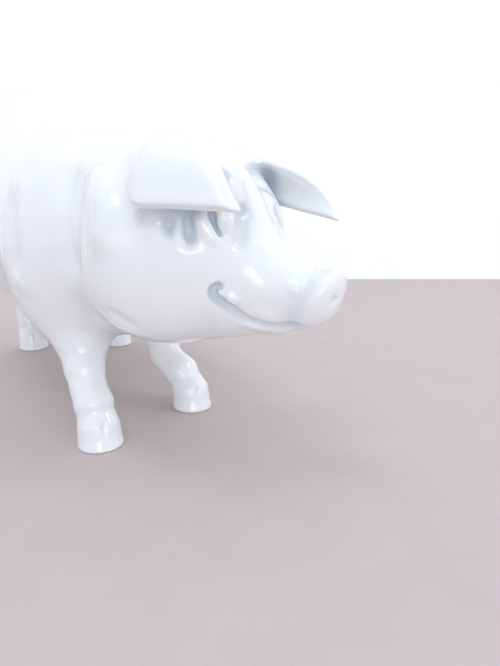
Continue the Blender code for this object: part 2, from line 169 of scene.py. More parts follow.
def stroke(points, path, width, depth, reach=3.0):
    """A modelling tool drawn along a path: a bell-shaped bump of that width and depth, fading out over
    a few widths at both ends. It is added to a field: a positive depth presses a groove, a negative one
    raises a ridge."""
    fade = min(0.5, 2.4 * width / np.sqrt((np.diff(path, axis=0) ** 2).sum(1)).sum())
    near = ((points > path.min(0) - reach * width) & (points < path.max(0) + reach * width)).all(1)
    result = np.zeros(len(points))
    if near.any():
        gap, share = along_path(points[near], path)
        ends = np.clip(share / fade, 0.0, 1.0) * np.clip((1.0 - share) / fade, 0.0, 1.0)
        ends = ends * ends * (3.0 - 2.0 * ends)
        result[near] = depth * np.exp(-(gap / width) ** 2) * ends
    return result


def slope(field, points, reach=0.06):
    """Gradient of the field: its change over a short step along each axis."""
    result = np.empty_like(points)
    for k in range(3):
        step = np.zeros(3)
        step[k] = reach
        result[:, k] = (field(points + step) - field(points - step)) / (2 * reach)
    return result


def settled(field, points, rounds=3, most=0.5):
    """Points slid onto the surface: against the gradient, by the value over its squared length."""
    for _ in range(rounds):
        value = field(points)
        gradient = np.stack([field(points + step) - value for step in 0.06 * np.eye(3)], 1) / 0.06
        move = gradient * (value / np.maximum((gradient ** 2).sum(1), 1e-3))[:, None]
        length = np.sqrt((move ** 2).sum(1))
        points = points - move * np.minimum(1.0, most / np.maximum(length, 1e-9))[:, None]
    return points


def where(points, part, low, high, far=60.0):
    """A part's distance for the points inside its box, and a large distance for all others."""
    result = np.full(len(points), far)
    near = ((points > np.array(low)) & (points < np.array(high))).all(1)
    if near.any():
        result[near] = part(points[near])
    return result


# %% [markdown]
# ## Body, hams and shoulders
# The sizes below repeat the frame's own driving dimensions. The body is a barrel with two hams, two
# shoulders and a chest pressed onto it, and a neck that leads to the turned head. Soft vertical folds
# behind the shoulder, before it and at the flank are drawn with the modelling tool.

# %% Sizes of the pig, in millimetres
BODY_CENTRE, BODY_RADII = (-8.0, 0.0, 64.5), (76.0, 40.0, 33.5)
HAM_CENTRE, HAM_RADII = (-50.0, 17.0, 60.0), (31.0, 25.0, 33.0)
SHOULDER_CENTRE, SHOULDER_RADII = (41.0, 19.0, 60.0), (20.0, 20.0, 32.0)
CHEST_CENTRE, CHEST_RADII = (52.0, 0.0, 58.0), (21.0, 27.0, 26.0)
NECK_START, NECK_RADII = (42.0, 0.0, 66.0), (29.5, 24.0)
HEAD_PIVOT = np.array([70.0, 0.0, 0.0])
HEAD_TURN = yaw(30.0)
NAPE = (8.0, 0.0, 65.0)
SKULL_CENTRE, SKULL_RADII = (14.5, 0.0, 65.0), (24.0, 22.5, 24.0)
JOWL_CENTRE, JOWL_RADII = (9.0, 9.0, 54.0), (20.0, 17.0, 16.5)
LOIN_CENTRE, LOIN_RADII = (-38.0, 16.0, 66.0), (42.0, 23.0, 30.5)
WALL = 4.0


def in_head(points):
    """The same points in the head's own frame: along the head, to its left, up."""
    return (points - HEAD_PIVOT) @ HEAD_TURN


def from_head(point):
    """A point of the head's frame, in the pig's frame."""
    return np.array(point, float) @ HEAD_TURN.T + HEAD_PIVOT


def mirrored(point, side):
    """The same point on the pig's left (side 1) or right (side -1)."""
    return (point[0], side * point[1], point[2])


# %% Trunk field
def trunk(points, wall=0.0):
    """Barrel, hams, shoulders, chest and neck; with a wall, the hollow inside them."""
    clay = lump(points, BODY_CENTRE, np.array(BODY_RADII) - wall)
    for side in (-1, 1):
        loin = lump(points, mirrored(LOIN_CENTRE, side), np.array(LOIN_RADII) - wall)
        clay = pressed(clay, loin, 9.0)
        ham = lump(points, mirrored(HAM_CENTRE, side), np.array(HAM_RADII) - wall)
        clay = pressed(clay, ham, 9.0)
        shoulder = lump(points, mirrored(SHOULDER_CENTRE, side), np.array(SHOULDER_RADII) - wall)
        clay = pressed(clay, shoulder, 9.0)
    clay = pressed(clay, lump(points, CHEST_CENTRE, np.array(CHEST_RADII) - wall), 9.0)
    neck = limb(points, NECK_START, from_head(NAPE), NECK_RADII[0] - wall, NECK_RADII[1] - wall)
    return pressed(clay, neck, 8.0)


# %% [markdown]
# ## The head
# A tall skull with full jowls carries a tapering snout that ends in a flat, tilted nose disc, with a
# narrower jaw below it. Ball after ball of clay would be pressed on and smoothed with a wet finger; the
# field does the same with ellipsoids and tapered limbs. Two fleshy bumps on top carry the ears, and a
# brow fills the corner under the right ear, which lies closer to the head than the left one.

# %% Head field
def head_clay(points):
    """Skull, jowls, snout, jaw, nose disc, ear bumps and brow, pressed together in the head's frame."""
    q = in_head(points)
    clay = lump(q, SKULL_CENTRE, SKULL_RADII)
    for side in (-1, 1):
        clay = pressed(clay, lump(q, mirrored(JOWL_CENTRE, side), JOWL_RADII), 8.0)
    snout = limb(q, (31.0, 0.0, 54.5), (50.0, 0.0, 52.2), 13.5, 7.0)
    jaw = limb(q, (18.0, 0.0, 50.0), (41.0, 0.0, 46.6), 11.0, 5.2)
    nose_disc = lump(q, (53.4, 0.0, 51.9), (3.4, 8.4, 8.9), nod(31.0))
    clay = pressed(pressed(pressed(clay, snout, 8.0), jaw, 6.0), nose_disc, 4.2)
    for side in (-1, 1):
        clay = pressed(clay, lump(q, (18.0, 11.5 * side, 82.0), (8.0, 6.5, 6.5)), 5.0)
    brow = limb(q, (18.0, -12.0, 81.0), (31.0, -12.5, 78.5), 7.0, 4.8)
    return pressed(clay, brow, 6.0)


# %% [markdown]
# ## The face
# The face is drawn into the soft clay with a modelling tool: a smiling mouth line that hooks round the
# end of the lips, an eyeball under a drooping lid, nostrils, and soft folds in the temples. Each stroke
# is a curve through a few points on the head, and it presses a bell-shaped groove into the field or
# raises a ridge. Drawing strokes into the field keeps every edge as soft as glazed clay.

# %% Face field
# Each line: points (along the head, off its middle, up), width, depth; negative depths are ridges.
FACE_LINES = {
    "mouth": ([(32.6, 14.6, 54.6), (31.8, 15.6, 55.5), (31.0, 16.3, 54.8), (31.0, 16.1, 53.4),
               (32.0, 15.0, 51.8), (33.4, 12.7, 50.2), (34.8, 11.2, 48.2), (36.8, 9.7, 46.1),
               (39.4, 7.9, 44.9), (42.0, 6.6, 44.3), (45.4, 5.6, 44.3), (49.4, 4.6, 45.2),
               (52.2, 0.0, 46.0)], 0.95, 2.5),
    "lip bulge": ([(32.6, 15.0, 53.2), (34.2, 13.8, 52.4), (36.6, 12.2, 50.6)], 1.3, -1.3),
    "upper lip": ([(37.0, 11.4, 49.0), (41.0, 9.2, 47.4), (45.0, 7.4, 46.8)], 1.8, -0.6),
    "lower lip": ([(34.4, 10.6, 45.6), (38.0, 8.0, 43.2), (42.4, 5.0, 42.2)], 1.7, -0.4),
    "lid": ([(27.4, 19.4, 74.0), (29.0, 18.8, 71.2), (30.4, 18.0, 69.2), (31.8, 17.2, 67.4),
             (33.4, 16.0, 65.0)], 1.5, -1.3),
    "behind eye": ([(30.6, 16.8, 75.0), (31.6, 16.8, 71.4), (32.4, 16.2, 68.6), (33.6, 15.4, 66.2)],
                   1.1, 1.3),
    "eyeball": ([(32.8, 13.6, 75.0), (33.6, 14.2, 71.4), (34.2, 14.6, 67.6)], 2.0, -1.5),
    "before eye": ([(35.4, 10.2, 76.0), (36.4, 10.8, 71.4), (36.4, 11.8, 67.0), (34.8, 14.2, 63.8)],
                   1.8, 1.8),
    "temple back": ([(22.5, 22.2, 75.5), (23.0, 22.9, 70.4), (23.4, 23.1, 64.4)], 2.4, 1.6),
    "temple fold": ([(24.5, 21.2, 75.0), (25.0, 22.0, 68.4), (25.4, 22.3, 62.0)], 1.2, -0.9),
    "temple front": ([(26.5, 20.0, 75.5), (26.9, 20.6, 70.0), (27.8, 20.6, 63.6)], 2.0, 1.9),
    "behind disc": ([(49.0, 0.0, 60.6), (50.2, 3.6, 59.0), (51.0, 6.2, 56.2), (51.4, 7.2, 53.4),
                     (51.6, 6.8, 50.6), (51.2, 5.0, 48.2)], 1.8, 0.25),
    "nostril wing": ([(47.8, 6.8, 58.0), (48.6, 7.6, 55.4), (49.0, 7.8, 52.6)], 1.8, -0.7),
    "nostril": ([(57.0, 2.6, 54.2), (57.2, 3.6, 52.4), (57.0, 3.8, 50.6)], 1.1, 0.8),
}
# The left ear stands off the brow, so a wide hollow is pressed inside it.
LEFT_HOLLOW = ([(23.0, 10.5, 88.6), (27.0, 9.6, 86.0), (30.6, 9.4, 81.2), (34.0, 9.2, 76.2)], 4.6, 3.2)


def laid_on(field, path):
    """A path smoothed and then slid onto a field's surface, so that the tool always touches the clay."""
    return settled(field, smooth_path(path), rounds=6, most=2.0)


def on_face(line, side):
    """A face line laid on one side of the head: its path, width and depth."""
    path, width, depth = line
    return laid_on(head_clay, from_head(np.array(path) * np.array([1.0, side, 1.0]))), width, depth


FACE_PATHS = [on_face(line, side) for line in FACE_LINES.values() for side in (-1.0, 1.0)]
FACE_PATHS.append(on_face(LEFT_HOLLOW, 1.0))
print("tool lines on the face:", len(FACE_PATHS))


def face(points):
    """What the modelling tool adds to the head's field: all its lines together."""
    return sum(stroke(points, path, width, depth) for path, width, depth in FACE_PATHS)


# %% [markdown]
# ## Ears
# Each ear is a sheet of clay arched over like a roof tile, hanging forward over the eye, with a rolled
# hem. The sheet is what lies near an arc across the head; a second field trims its outline, and where
# both meet the edge is rounded over.

# %% Ear field
# Height of the hem, and for the right ear (-1) and the left (1): how fast the hem sags towards the tip,
# and how far out the sloping top and the front of the outline lie.
EAR_HEM_Z = 74.0
EAR_SAG = {-1: 0.03, 1: 0.22}
EAR_TOP = {-1: 90.6, 1: 89.8}
EAR_FRONT = {-1: 71.2, 1: 72.8}


def ear_clay(points, side):
    """Distance to an arc across the head, minus half the sheet; trimmed behind, below and in front."""
    q = in_head(points)
    a, l, z = q[:, 0], q[:, 1] * side, q[:, 2]
    arch = 17.0 - 0.22 * (a - 14.0)
    middle = 26.0 - arch
    hem_z = EAR_HEM_Z - EAR_SAG[side] * np.maximum(a - 28.0, 0.0)
    hem = 1.5 * np.exp(-((z - hem_z) / 3.0) ** 2)
    sheet = np.abs(np.hypot(l - middle, np.maximum(z - EAR_HEM_Z, 0.0)) - arch) - (1.9 + hem)
    outline = cut_by(14.5 - a, hem_z - z, 5.0)
    top = EAR_TOP[side] - 0.45 * np.maximum(21.0 - l, 0.0)
    front = cut_by(0.545 * a + 0.838 * z - top, 0.906 * a + 0.423 * z - EAR_FRONT[side], 5.0)
    outline = cut_by(outline, front, 1.0)
    outline = cut_by(outline, middle - 4.0 - l, 2.0)
    return cut_by(sheet, outline, 3.2)


# %% [markdown]
# ## Legs
# The legs are short: a thick root that disappears in the body, a knee, a slim shank and a cloven hoof.
# Each is a chain of tapered limbs through a few stations, and the soles are cut flat on the table.

# %% Leg field
# Where each hoof stands, and how far each fore knee lies back and to the side of a straight leg.
STANCES = {"right_foreleg": (62.4, -19.0), "left_foreleg": (49.5, 19.0),
           "right_hind_leg": (-63.6, -20.0), "left_hind_leg": (-48.3, 20.0)}
KNEE_SHIFT = {"right_foreleg": (-0.8, -1.0), "left_foreleg": (-6.6, -5.0)}


def leg_stations(name):
    """Centre and radius of each station of a leg, from its root down to below the sole."""
    x, y = STANCES[name]
    side = math.copysign(1.0, y)
    if "fore" in name:
        in_x, in_y = KNEE_SHIFT[name]
        low_x, low_y = in_x / 3, in_y / 3
        top = [((x - 21.0, y - 2.5 * side, 44.0), 14.0), ((x - 13.0 + in_x, y - side + in_y, 31.0), 8.4),
               ((x - 8.0 + in_x, y + in_y, 23.0), 6.2), ((x - 5.0 + in_x, y + in_y, 17.5), 5.5)]
    else:
        low_x, low_y = 0.0, 0.0
        top = [((x + 12.0, y - 3.0 * side, 48.0), 17.0), ((x - 2.0, y - side, 30.0), 8.5),
               ((x - 4.5, y, 22.0), 6.2), ((x - 3.6, y, 17.0), 6.0)]
    return top + [((x - 2.6 + low_x, y + low_y, 12.4), 6.0),
                  ((x - 1.8 + low_x / 2, y + low_y / 2, 9.6), 5.3),
                  ((x - 0.4, y, 5.8), 6.4), ((x + 1.2, y, -3.0), 7.8)]


def leg_clay(points, name):
    """A chain of tapered limbs, with the split of the hoof pressed into its front."""
    stations = leg_stations(name)
    clay = None
    for (a, ra), (b, rb) in zip(stations, stations[1:]):
        part = limb(points, a, b, ra, rb)
        clay = part if clay is None else pressed(clay, part, 1.6)
    x, y = STANCES[name]
    split = [(x + 9.0, y, -1.0), (x + 8.2, y, 3.0), (x + 6.4, y, 7.0), (x + 4.6, y, 9.5)]
    return clay + stroke(points, smooth_path(split), 0.9, 0.8)


# %% [markdown]
# ## The skin as a whole
# Trunk, head, ears, legs and the low rise under the tail are pressed together into one skin, and the
# body folds are drawn in last, because they run across the joins.

# %% Skin field
FOLDS = [
    # Deep fold behind the shoulder, and the rolled skin before it.
    ([(44.0, -34.5, 82.0), (48.0, -36.5, 75.6), (50.2, -37.0, 67.7), (51.0, -37.0, 61.4),
      (50.0, -37.0, 50.0)], 4.0, 2.0),
    ([(46.0, -30.5, 84.0), (51.2, -34.0, 74.2), (52.8, -34.6, 65.8), (52.8, -35.2, 56.3),
      (51.0, -35.5, 45.0)], 3.0, -1.3),
    # Fold between shoulder and neck.
    ([(59.0, -17.5, 88.0), (63.4, -21.3, 80.2), (67.0, -22.8, 74.4), (68.7, -24.0, 68.3),
      (69.0, -24.6, 62.4), (68.9, -24.0, 50.0)], 4.4, 2.2),
    # The roll of fat on the neck, and the deep fold between it and the ear.
    ([(65.0, -13.5, 87.5), (75.7, -17.5, 79.5), (82.5, -18.8, 74.6), (86.0, -19.4, 69.9),
      (87.6, -20.0, 60.0)], 4.6, -2.0),
    ([(74.0, -8.0, 88.5), (81.5, -12.5, 83.0), (88.3, -14.8, 78.0), (91.8, -15.6, 73.0),
      (93.6, -16.6, 64.0)], 3.4, 2.2),
    # A crease where the throat meets the chest.
    ([(85.0, -20.0, 49.0), (88.2, -18.4, 46.4), (90.3, -15.6, 44.4), (91.6, -11.9, 42.3)], 1.8, 1.2),
    # A soft hollow in the flank, before the ham.
    ([(-18.0, -38.0, 84.0), (-23.0, -41.0, 70.0), (-24.0, -40.5, 56.0), (-19.0, -37.0, 44.0)], 5.5, 1.6),
]


# The tail grows from the back of the barrel, 80 mm up, and points backwards and 35 degrees upwards.
TAIL_Z = 80.0
BARREL_SHARE = math.sqrt(1 - ((TAIL_Z - BODY_CENTRE[2]) / BODY_RADII[2]) ** 2)
TAIL_ROOT = np.array([BODY_CENTRE[0] - BODY_RADII[0] * BARREL_SHARE - 1.5, 0.0, TAIL_Z])
TAIL_OUT = np.array([-math.cos(math.radians(35.0)), 0.0, math.sin(math.radians(35.0))])


def tail_rise(points):
    """The low rise under the tail: a short limb along the tail's direction."""
    return limb(points, TAIL_ROOT - 3.0 * TAIL_OUT, TAIL_ROOT + 3.0 * TAIL_OUT, 6.4, 4.4)


def plain_body(points):
    """Trunk, head and legs pressed together, before any fold is drawn."""
    clay = pressed(trunk(points), where(points, head_clay, (30, -55, 15), (155, 65, 120)), 11.0)
    for name, (x, y) in STANCES.items():
        one_leg = where(points, lambda near, name=name: leg_clay(near, name),
                        (x - 45, y - 34, -15), (x + 45, y + 34, 72))
        clay = pressed(clay, one_leg, 5.0)
    return clay


FOLD_PATHS = [(laid_on(plain_body, np.array(path) * np.array([1.0, side, 1.0])), width, depth)
              for path, width, depth in FOLDS for side in (1.0, -1.0)]


def skin(points):
    """The outer skin: the plain body with its folds, face, ears and tail rise, and flat soles."""
    clay = plain_body(points)
    clay = clay + sum(stroke(points, path, width, depth) for path, width, depth in FOLD_PATHS)
    clay = clay + where(points, face, (50, -50, 25), (145, 55, 100), far=0.0)
    for side in (-1, 1):
        flap = where(points, lambda near, side=side: ear_clay(near, side), (55, -50, 60), (130, 60, 110))
        clay = pressed(clay, flap, 4.0)
    clay = pressed(clay, where(points, tail_rise, (-110, -20, 60), (-65, 20, 100)), 2.5)
    return cut_by(clay, -points[:, 2], 0.8)


# %% [markdown]
# ## Inside the bank
# Slip-cast porcelain is hollow with a wall of about 4 mm. The body has a slot in its back for coins and
# a round hole in its belly for the stopper, with a recess for the stopper's flange.

# %% Hollow, slot and hole fields
SLOT_X, SLOT_HALF, SLOT_RADIUS, SLOT_FLOOR_Z = -5.0, 14.5, 2.5, 70.0
HOLE_RADIUS, HOLE_TOP_Z, SEAT_RADIUS, SEAT_Z = 13.0, 60.0, 17.0, 34.0
BOSS_WIDTH, BOSS_TOP_Z = 7.0, 39.0


def hollow(points):
    """The space inside the wall, less the boss round the stopper's hole."""
    space = pressed(trunk(points, WALL), lump(in_head(points), SKULL_CENTRE, np.array(SKULL_RADII) - WALL),
                    6.0)
    ring = np.hypot(points[:, 0] - STOPPER_X, points[:, 1])
    boss = np.maximum(ring - HOLE_RADIUS - BOSS_WIDTH, points[:, 2] - BOSS_TOP_Z)
    return cut_by(space, -boss, 1.5)


def coin_slot(points):
    """A slot with round ends, seen from above: distance to a short line, minus half its width."""
    x = np.maximum(np.abs(points[:, 0] - SLOT_X) - SLOT_HALF, 0.0)
    return np.maximum(np.hypot(x, points[:, 1]) - SLOT_RADIUS, SLOT_FLOOR_Z - points[:, 2])


def stopper_hole(points):
    """A round hole through the belly and the wider recess below it."""
    ring = np.hypot(points[:, 0] - STOPPER_X, points[:, 1])
    hole = np.maximum(ring - HOLE_RADIUS, points[:, 2] - HOLE_TOP_Z)
    seat = np.maximum(ring - SEAT_RADIUS, points[:, 2] - SEAT_Z)
    return np.minimum(hole, seat)


def body_wall(points):
    """The body casting: the skin, less the hollow, the slot and the hole, with soft glazed edges."""
    wall = cut_by(skin(points), -hollow(points), 0.8)
    return cut_by(cut_by(wall, -coin_slot(points), 1.8), -stopper_hole(points), 1.2)


# %% [markdown]
# ## Tail and stopper
# The tail is a rolled string of clay, curled once and thinning to its tip. The stopper is moulded soft
# rubber: a flange, a slightly tapered plug, and two finger recesses with a bar between them to pull on.

# %% Tail and stopper fields
CURL_TURNS, CURL_START, CURL_RADIUS = 1.15, 0.15, 5.2
FLANGE_RADIUS, FLANGE_Z, FLANGE_HALF, FLANGE_TOP_Z = 16.1, 32.5, 1.2, 33.7
PLUG_RADIUS, PLUG_TAPER, PLUG_Z, PLUG_HALF = 12.7, 0.14, 36.5, 4.0
GRIP_RADIUS, GRIP_TOP_Z, BAR_HALF = 9.0, 36.3, 1.6


def tail_clay(points):
    """A string along a curl: sine and cosine round the tail's own direction, thinning to its tip."""
    share = np.linspace(0.0, 1.0, 49)
    across = np.array([0.0, 1.0, 0.0])
    up = np.cross(TAIL_OUT, across)
    turn = 2 * math.pi * CURL_TURNS * np.maximum(0.0, share - CURL_START) / (1.0 - CURL_START)
    lead = -3.0 + 7.5 * np.minimum(1.0, share / 0.25) + 3.0 * share
    ring = (np.sin(turn)[:, None] * across + (np.cos(turn) - 1.0)[:, None] * up) * CURL_RADIUS
    path = TAIL_ROOT + lead[:, None] * TAIL_OUT + ring
    gap, along = along_path(points, path)
    return pressed(gap - (2.9 - 1.4 * along), tail_rise(points), 1.5)


def stopper_rubber(points):
    """Flange and plug as nested discs, less two half-round grips beside the bar, all edges soft."""
    ring = np.hypot(points[:, 0] - STOPPER_X, points[:, 1])
    z = points[:, 2]
    flange = cut_by(ring - FLANGE_RADIUS, np.abs(z - FLANGE_Z) - FLANGE_HALF, 1.2)
    side = ring - (PLUG_RADIUS - PLUG_TAPER * np.maximum(z - FLANGE_TOP_Z, 0.0))
    plug = cut_by(side, np.abs(z - PLUG_Z) - PLUG_HALF, 1.8)
    rubber = pressed(flange, plug, 0.5)
    grip = cut_by(cut_by(ring - GRIP_RADIUS, BAR_HALF - np.abs(points[:, 1]), 1.0), z - GRIP_TOP_Z, 1.0)
    return cut_by(rubber, -grip, 0.8)


# %% [markdown]
# ## From field to mesh
# A field has no faces yet. *Surface nets* gives it some: space is divided into small cubes, each cube
# that the surface passes through gets one vertex, at the mean of the crossings on its edges, and every
# grid edge that crosses the surface gets a face between the four cubes round it. Only cubes near the
# surface are looked at. Then each vertex is slid along the field's gradient until it lies exactly on the
# surface, and the same gradient gives exact smooth normals, so the facets never show.

# %% Surface nets
def sampled(field, low, high, step, coarse=4):
    """The field on a grid: everywhere on a coarse grid, and at every point near the surface."""
    low = np.array(low, float)
    counts = np.ceil((np.array(high) - low) / (step * coarse)).astype(int) * coarse + 1
    axes = [low[k] + step * np.arange(counts[k]) for k in range(3)]
    rough_axes = [axis[::coarse] for axis in axes]
    corners = np.stack(np.meshgrid(*rough_axes, indexing="ij"), -1).reshape(-1, 3)
    rough = field(corners).reshape([len(axis) for axis in rough_axes])
    near = np.abs(rough) < step * coarse * 2.4
    for k in range(3):
        spread = near.copy()
        ahead = [slice(None)] * 3
        behind = [slice(None)] * 3
        ahead[k], behind[k] = slice(1, None), slice(None, -1)
        spread[tuple(behind)] |= near[tuple(ahead)]
        spread[tuple(ahead)] |= near[tuple(behind)]
        near = spread
    nearest = [np.minimum((np.arange(counts[k]) + coarse // 2) // coarse, len(rough_axes[k]) - 1)
               for k in range(3)]
    grid = rough[np.ix_(*nearest)]
    places = np.argwhere(near[np.ix_(*nearest)])
    batches = np.array_split(places, len(places) // 300000 + 1)
    values = np.concatenate([field(low + batch * step) for batch in batches])
    grid[tuple(places.T)] = values
    return grid, low


def net(grid, low, step):
    """Vertices at the mean crossing in each mixed cube, and a face round each crossed grid edge."""
    inside = grid < 0
    counts = np.array(grid.shape)
    corners = np.array([(i, j, k) for i in (0, 1) for j in (0, 1) for k in (0, 1)])
    total = sum(inside[i:counts[0] - 1 + i, j:counts[1] - 1 + j, k:counts[2] - 1 + k].astype(np.int8)
                for i, j, k in corners)
    mixed = (total > 0) & (total < 8)
    cells = np.argwhere(mixed)
    number = np.full(mixed.shape, -1, np.int64)
    number[mixed] = np.arange(len(cells))
    values = np.stack([grid[tuple((cells + corner).T)] for corner in corners], 1)
    place = np.zeros((len(cells), 3))
    crossings = np.zeros(len(cells))
    for a in range(8):
        for b in range(a + 1, 8):
            if np.abs(corners[a] - corners[b]).sum() == 1:
                crossed = (values[:, a] < 0) != (values[:, b] < 0)
                fall = np.where(crossed, values[:, a] - values[:, b], 1.0)
                share = np.where(crossed, values[:, a] / fall, 0.0)[:, None]
                place += crossed[:, None] * (corners[a] + share * (corners[b] - corners[a]))
                crossings += crossed
    vertices = low + (cells + place / crossings[:, None]) * step
    faces = []
    for axis in range(3):
        u, v = (axis + 1) % 3, (axis + 2) % 3
        first = np.take(inside, np.arange(counts[axis] - 1), axis)
        second = np.take(inside, np.arange(1, counts[axis]), axis)
        edges = np.argwhere(first != second)
        kept = ((edges[:, [u, v]] > 0) & (edges[:, [u, v]] < counts[[u, v]] - 1)).all(1)
        edges = edges[kept]
        starts_inside = first[tuple(edges.T)]
        around = []
        for du, dv in ((1, 1), (0, 1), (0, 0), (1, 0)):
            cell = edges.copy()
            cell[:, u] -= du
            cell[:, v] -= dv
            around.append(number[tuple(cell.T)])
        quads = np.stack(around, 1)
        quads[~starts_inside] = quads[~starts_inside][:, ::-1]
        faces.append(quads)
    return vertices, np.concatenate(faces)


def meshed(field, low, high, step):
    step = step * 1.0
    vertices, quads = net(*sampled(field, low, high, step), step)
    vertices = settled(field, vertices, rounds=2)
    print("net of", len(vertices), "vertices,", len(quads), "quads")
    return vertices, quads


# %% [markdown]
# ## Cutting at the luting seams
# The castings meet on flat planes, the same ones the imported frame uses. Each mesh is cut there with
# Blender's bisect, and the opening is closed with a flat face, so every casting is a closed solid. The
# normals at the seam come from the field, the same on both sides, so the glazed joint can't be seen,
# as on the real pig, where the slip has filled it.

# %% Luting planes
NECK_TILT, NECK_YAW = math.radians(18.0), math.radians(8.1)
NECK_POINT = np.array([64.0, 0.0, 64.5])
NECK_NORMAL = np.array([math.cos(NECK_TILT) * math.cos(NECK_YAW),
                        math.cos(NECK_TILT) * math.sin(NECK_YAW), math.sin(NECK_TILT)])
LEG_POINT, LEG_NORMAL = np.array([0.0, 0.0, 30.0]), np.array([0.0, 0.0, -1.0])


def ear_plane(side):
    """Point and outward normal of the plane between the head and one ear."""
    normal = HEAD_TURN @ np.array([0.14, 0.818 * side, 0.559])
    return from_head((18.0, 18.4 * side, 79.3)), normal / np.linalg.norm(normal)


# %% Bmesh helpers
def as_bmesh(vertices, quads):
    """A bmesh from arrays of vertices and quads."""
    mesh = bpy.data.meshes.new("draft")
    mesh.from_pydata(vertices.tolist(), [], quads.tolist())
    shape = bmesh.new()
    shape.from_mesh(mesh)
    bpy.data.meshes.remove(mesh)
    return shape


def close_cut(shape, rim, normal):
    """Close the opening along a rim of edges with flat faces that look along the normal."""
    filled = bmesh.ops.triangle_fill(shape, use_beauty=True, edges=rim, normal=Vector(normal))
    for item in filled["geom"]:
        if isinstance(item, bmesh.types.BMFace):
            item.normal_update()
            if item.normal.dot(Vector(normal)) < 0:
                item.normal_flip()


def keep_side(shape, point, normal):
    """Cut a bmesh on a plane, drop what lies along the normal and close the opening."""
    cut = bmesh.ops.bisect_plane(shape, geom=shape.verts[:] + shape.edges[:] + shape.faces[:], dist=1e-5,
                                 plane_co=Vector(point), plane_no=Vector(normal), clear_outer=True)
    rim = [item for item in cut["geom_cut"] if isinstance(item, bmesh.types.BMEdge)]
    if rim:
        close_cut(shape, rim, normal)


def islands(shape):
    """The connected parts of a bmesh, as lists of faces, the largest first."""
    left = set(shape.faces)
    found = []
    while left:
        heap = [left.pop()]
        part = []
        while heap:
            face_here = heap.pop()
            part.append(face_here)
            for edge in face_here.edges:
                for other in edge.link_faces:
                    if other in left:
                        left.remove(other)
                        heap.append(other)
        found.append(part)
    return sorted(found, key=len, reverse=True)


def keep_island(shape, near):
    """Drop every connected part but the one with a face nearest to a point."""
    near = Vector(near)
    parts = islands(shape)
    best = min(parts, key=lambda part: min((item.verts[0].co - near).length for item in part))
    dropped = [item for part in parts if part is not best for item in part]
    if dropped:
        bmesh.ops.delete(shape, geom=dropped, context="FACES")


# %% [markdown]
# ## A piece from a bmesh
# Every piece gets smooth normals from its field, and two numbers on each vertex for the material to read:
# *crease depth*, how deep the vertex lies in a crease, where glaze gathers and where shade is painted in,
# and *bare*, where the clay carries no glaze because it is inside or stood in the kiln.

# %% Piece maker
CREASE_REACH = 2.5


def piece(name, shape, field, body, slot_name, bare=None):
    """Object from a bmesh in millimetres: exact normals, bare, and pool = 1 - field(p + r n) / r."""
    mesh = bpy.data.meshes.new(name)
    shape.to_mesh(mesh)
    shape.free()
    count = len(mesh.vertices)
    points = np.empty(count * 3)
    mesh.vertices.foreach_get("co", points)
    points = points.reshape(-1, 3)
    gradient = slope(field, points)
    normals = gradient / np.maximum(np.linalg.norm(gradient, axis=1), 1e-6)[:, None]
    # Crease depth: the porcelain paints shade and pooled glaze into creases by it, the rubber darkens its
    # grips.
    crease_depth = np.clip(1.0 - field(points + CREASE_REACH * normals) / CREASE_REACH, 0.0, 1.0)
    bareness = np.zeros(count) if bare is None else np.clip(bare(points), 0.0, 1.0)
    for label, values in (("crease_depth", crease_depth), ("bare", bareness)):
        layer = mesh.attributes.new(label, "FLOAT", "POINT")
        layer.data.foreach_set("value", values.astype(np.float32))
    corner_vertex = np.empty(len(mesh.loops), np.int32)
    mesh.loops.foreach_get("vertex_index", corner_vertex)
    corner_normal = normals[corner_vertex]
    mesh.vertices.foreach_set("co", ((points + SHIFT) * MM).ravel())
    mesh.polygons.foreach_set("use_smooth", np.ones(len(mesh.polygons), bool))
    mesh.normals_split_custom_set(corner_normal.tolist())
    mesh.update()
    thing = bpy.data.objects.new(name, mesh)
    bpy.context.scene.collection.objects.link(thing)
    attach(thing, body)
    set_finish(thing, slot_name)
    low, high = points.min(0), points.max(0)
    print(name, count, "vertices,", (high - low).round(1), "mm")
    return thing


def under_sole(points):
    """One under the soles and fading out over the first half millimetre above the table."""
    return 1.0 - (points[:, 2] - 0.15) / 0.5


# %% The body casting
def inside_body(points):
    """One on the wall of the hollow, zero on the glazed skin."""
    return np.clip(1.6 - np.abs(hollow(points)) * 2.0, 0.0, 1.0)


# Box of the body on the pig's own axes, a little larger than the casting; net of 1 mm.
body_shape = as_bmesh(*meshed(body_wall, (-92.0, -46.0, 24.0), (82.0, 46.0, 103.0), 1.0))
keep_side(body_shape, NECK_POINT, NECK_NORMAL)
keep_side(body_shape, LEG_POINT, LEG_NORMAL)
keep_side(body_shape, TAIL_ROOT, TAIL_OUT)
keep_island(body_shape, (0.0, 0.0, 98.0))
torso_piece = piece("body_casting", body_shape, body_wall, "porcelain", "porcelain", inside_body)
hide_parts("torso")

# %% The head casting
head_shape = as_bmesh(*meshed(skin, (44.0, -42.0, 30.0), (136.0, 50.0, 103.0), 0.55))
keep_side(head_shape, NECK_POINT, -NECK_NORMAL)
for side in (-1, 1):
    point, normal = ear_plane(side)
    middle = Vector(point)
    nearby = [item for item in head_shape.faces if (item.calc_center_median() - middle).length < 24.0]
    around = list({vertex for item in nearby for vertex in item.verts})
    borders = list({edge for item in nearby for edge in item.edges})
    cut = bmesh.ops.bisect_plane(head_shape, geom=around + borders + nearby, dist=1e-5,
                                 plane_co=middle, plane_no=Vector(normal))
    rim = [item for item in cut["geom_cut"] if isinstance(item, bmesh.types.BMEdge)]
    bmesh.ops.split_edges(head_shape, edges=rim)
keep_island(head_shape, from_head((50.0, 0.0, 52.0)))
for side in (-1, 1):
    point, normal = ear_plane(side)
    open_edges = [edge for edge in head_shape.edges if edge.is_boundary
                  and abs((edge.verts[0].co - Vector(point)).dot(Vector(normal))) < 0.01]
    close_cut(head_shape, open_edges, normal)
head_piece = piece("head_casting", head_shape, skin, "porcelain", "porcelain")
